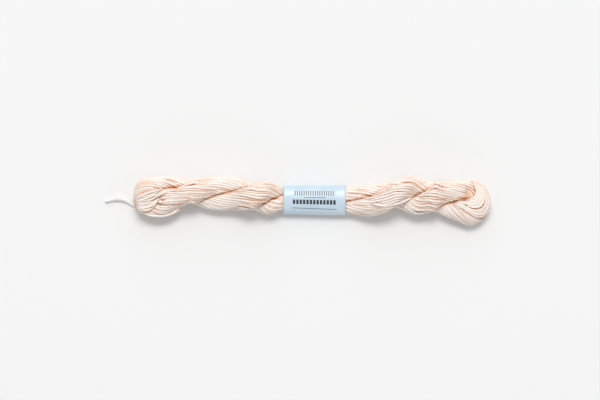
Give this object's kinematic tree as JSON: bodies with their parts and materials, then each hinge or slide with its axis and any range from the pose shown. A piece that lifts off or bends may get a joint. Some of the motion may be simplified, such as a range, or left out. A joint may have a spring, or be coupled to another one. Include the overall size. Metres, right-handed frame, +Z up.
{
  "type": "hank of silk yarn with paper band",
  "caption": "Twisted hank of soft silk yarn, folded at one end and looped at the other, with a paper band round its middle and the end of its tie lying loose.",
  "frame": {"origin": "middle of the underside of the hank's bounding box, on the table, the tie left out", "axes": "+X along the hank towards its folded end, +Y across it, +Z up from the table"},
  "size_m": [0.2233, 0.029, 0.0186],
  "materials": {
    "silk_yarn": "satin",
    "band_paper": "matte",
    "tie_cotton": "matte"
  },
  "bodies": {
    "root": {"hank": "silk_yarn", "paper_band": "band_paper", "tie_thread": "tie_cotton"}
  },
  "joints": []
}
